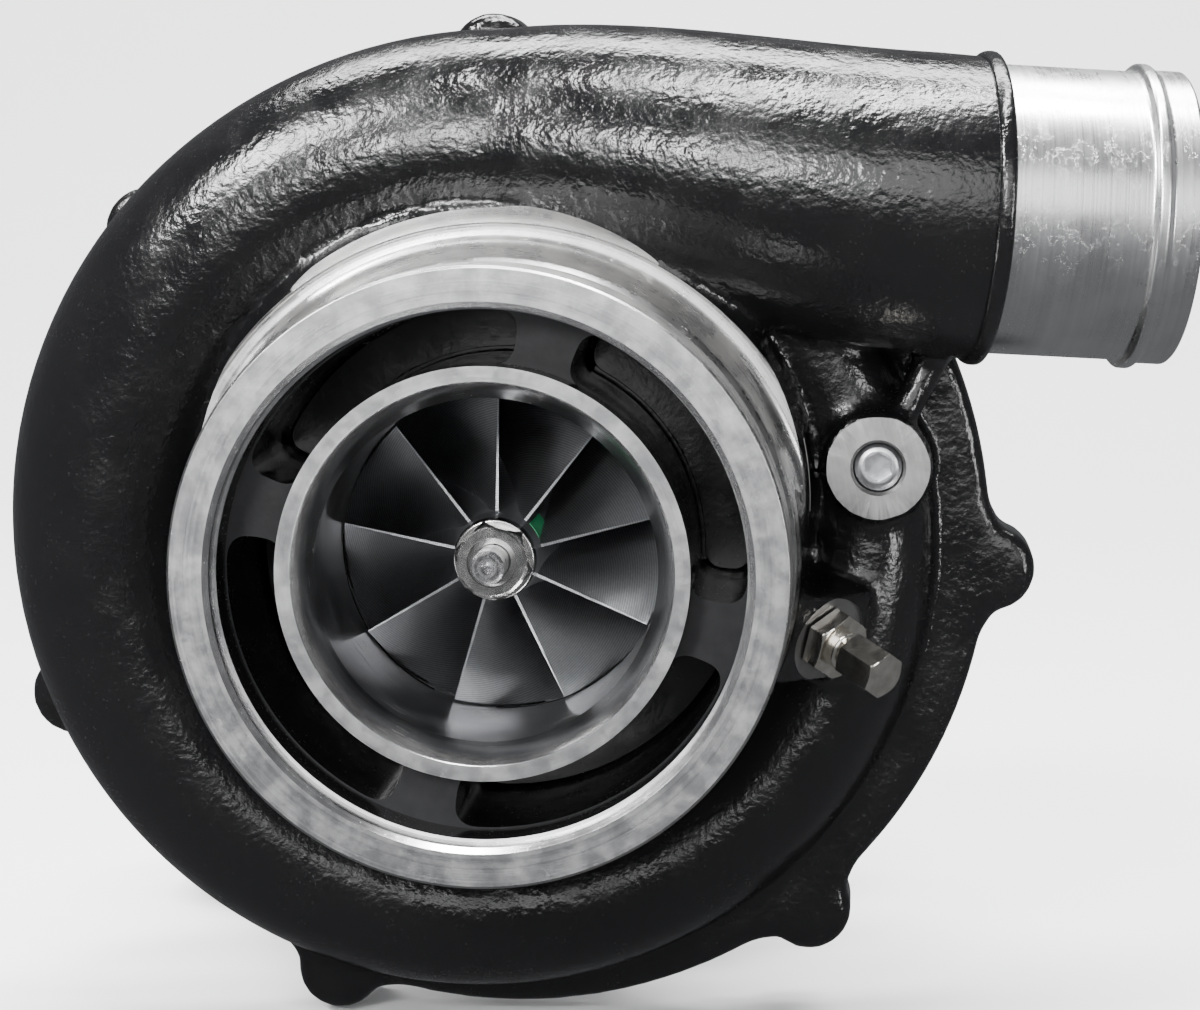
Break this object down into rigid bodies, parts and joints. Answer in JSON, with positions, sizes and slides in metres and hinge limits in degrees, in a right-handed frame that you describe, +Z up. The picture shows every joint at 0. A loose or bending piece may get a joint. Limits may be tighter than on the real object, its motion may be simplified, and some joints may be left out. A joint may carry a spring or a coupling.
{
  "type": "turbocharger",
  "caption": "Turbocharger: black compressor cover with ported inlet, billet wheel on a ball-bearing shaft, cast turbine housing, oil, coolant and boost ports.",
  "frame": {"origin": "centre of the turbine inlet's flange face, where the turbocharger bolts to its manifold", "axes": "+Z up out of the manifold, rotor axis along Y with the compressor inlet facing -Y and the turbine outlet facing +Y, compressor outlet towards +X"},
  "size_m": [0.2124, 0.212, 0.1827],
  "materials": {
    "black_powder_coat": "gloss black powder coat on cast aluminium",
    "machined_aluminium": "machined",
    "zinc_steel": "zinc plated",
    "nickel_plate": "nickel plated",
    "ground_steel": "ground and polished",
    "cast_iron": "as cast",
    "nickel_alloy": "investment cast, blasted",
    "black_rubber": "smooth",
    "gasket_paper": "fibre sheet"
  },
  "bodies": {
    "housing": {"compressor_cover": "black_powder_coat", "speed_port_plug": "zinc_steel", "boost_fitting": "nickel_plate", "boost_fitting_cap": "nickel_plate", "seal_plate": "machined_aluminium", "cover_o_ring": "black_rubber", "cover_clamp_1": "zinc_steel", "cover_clamp_2": "zinc_steel", "cover_clamp_3": "zinc_steel", "cover_bolt_1": "zinc_steel", "cover_bolt_2": "zinc_steel", "cover_bolt_3": "zinc_steel", "cover_bolt_4": "zinc_steel", "cover_bolt_5": "zinc_steel", "cover_bolt_6": "zinc_steel", "compressor_seal_ring": "cast_iron", "turbine_seal_ring": "cast_iron", "bearing_sleeve": "ground_steel", "bearing_retainer": "zinc_steel", "center_housing": "cast_iron", "housing_o_ring": "black_rubber", "seal_plate_screw_1": "zinc_steel", "seal_plate_screw_2": "zinc_steel", "seal_plate_screw_3": "zinc_steel", "seal_plate_screw_4": "zinc_steel", "heat_shield": "zinc_steel", "turbine_housing": "cast_iron", "v_band_clamp": "zinc_steel", "v_band_bolt": "zinc_steel", "v_band_nut": "zinc_steel", "oil_inlet_fitting": "zinc_steel", "oil_drain_flange": "zinc_steel", "oil_drain_gasket": "gasket_paper", "drain_bolt_1": "zinc_steel", "drain_bolt_2": "zinc_steel", "coolant_fitting_left": "zinc_steel", "coolant_fitting_right": "zinc_steel"},
    "rotor": {"compressor_wheel": "machined_aluminium", "compressor_nut": "ground_steel", "rotor_shaft": "ground_steel", "turbine_wheel": "nickel_alloy", "thrust_spacer": "ground_steel", "front_inner_race": "ground_steel", "rear_inner_race": "ground_steel"},
    "front_balls": {"front_ball_set": "ground_steel"},
    "rear_balls": {"rear_ball_set": "ground_steel"}
  },
  "joints": [
    {"name": "rotor_spin", "type": "hinge", "parent": "housing", "child": "rotor", "pos_m": [0.053, -0.056, 0.072], "axis": [0, 1, 0], "continuous": true},
    {"name": "front_ball_spin", "type": "hinge", "parent": "housing", "child": "front_balls", "pos_m": [0.053, -0.0685, 0.072], "axis": [0, 1, 0], "continuous": true},
    {"name": "rear_ball_spin", "type": "hinge", "parent": "housing", "child": "rear_balls", "pos_m": [0.053, -0.0435, 0.072], "axis": [0, 1, 0], "continuous": true}
  ],
  "couplings": [
    {"joint": "front_ball_spin", "follows": "rotor_spin", "ratio": 0.413},
    {"joint": "rear_ball_spin", "follows": "rotor_spin", "ratio": 0.413}
  ]
}
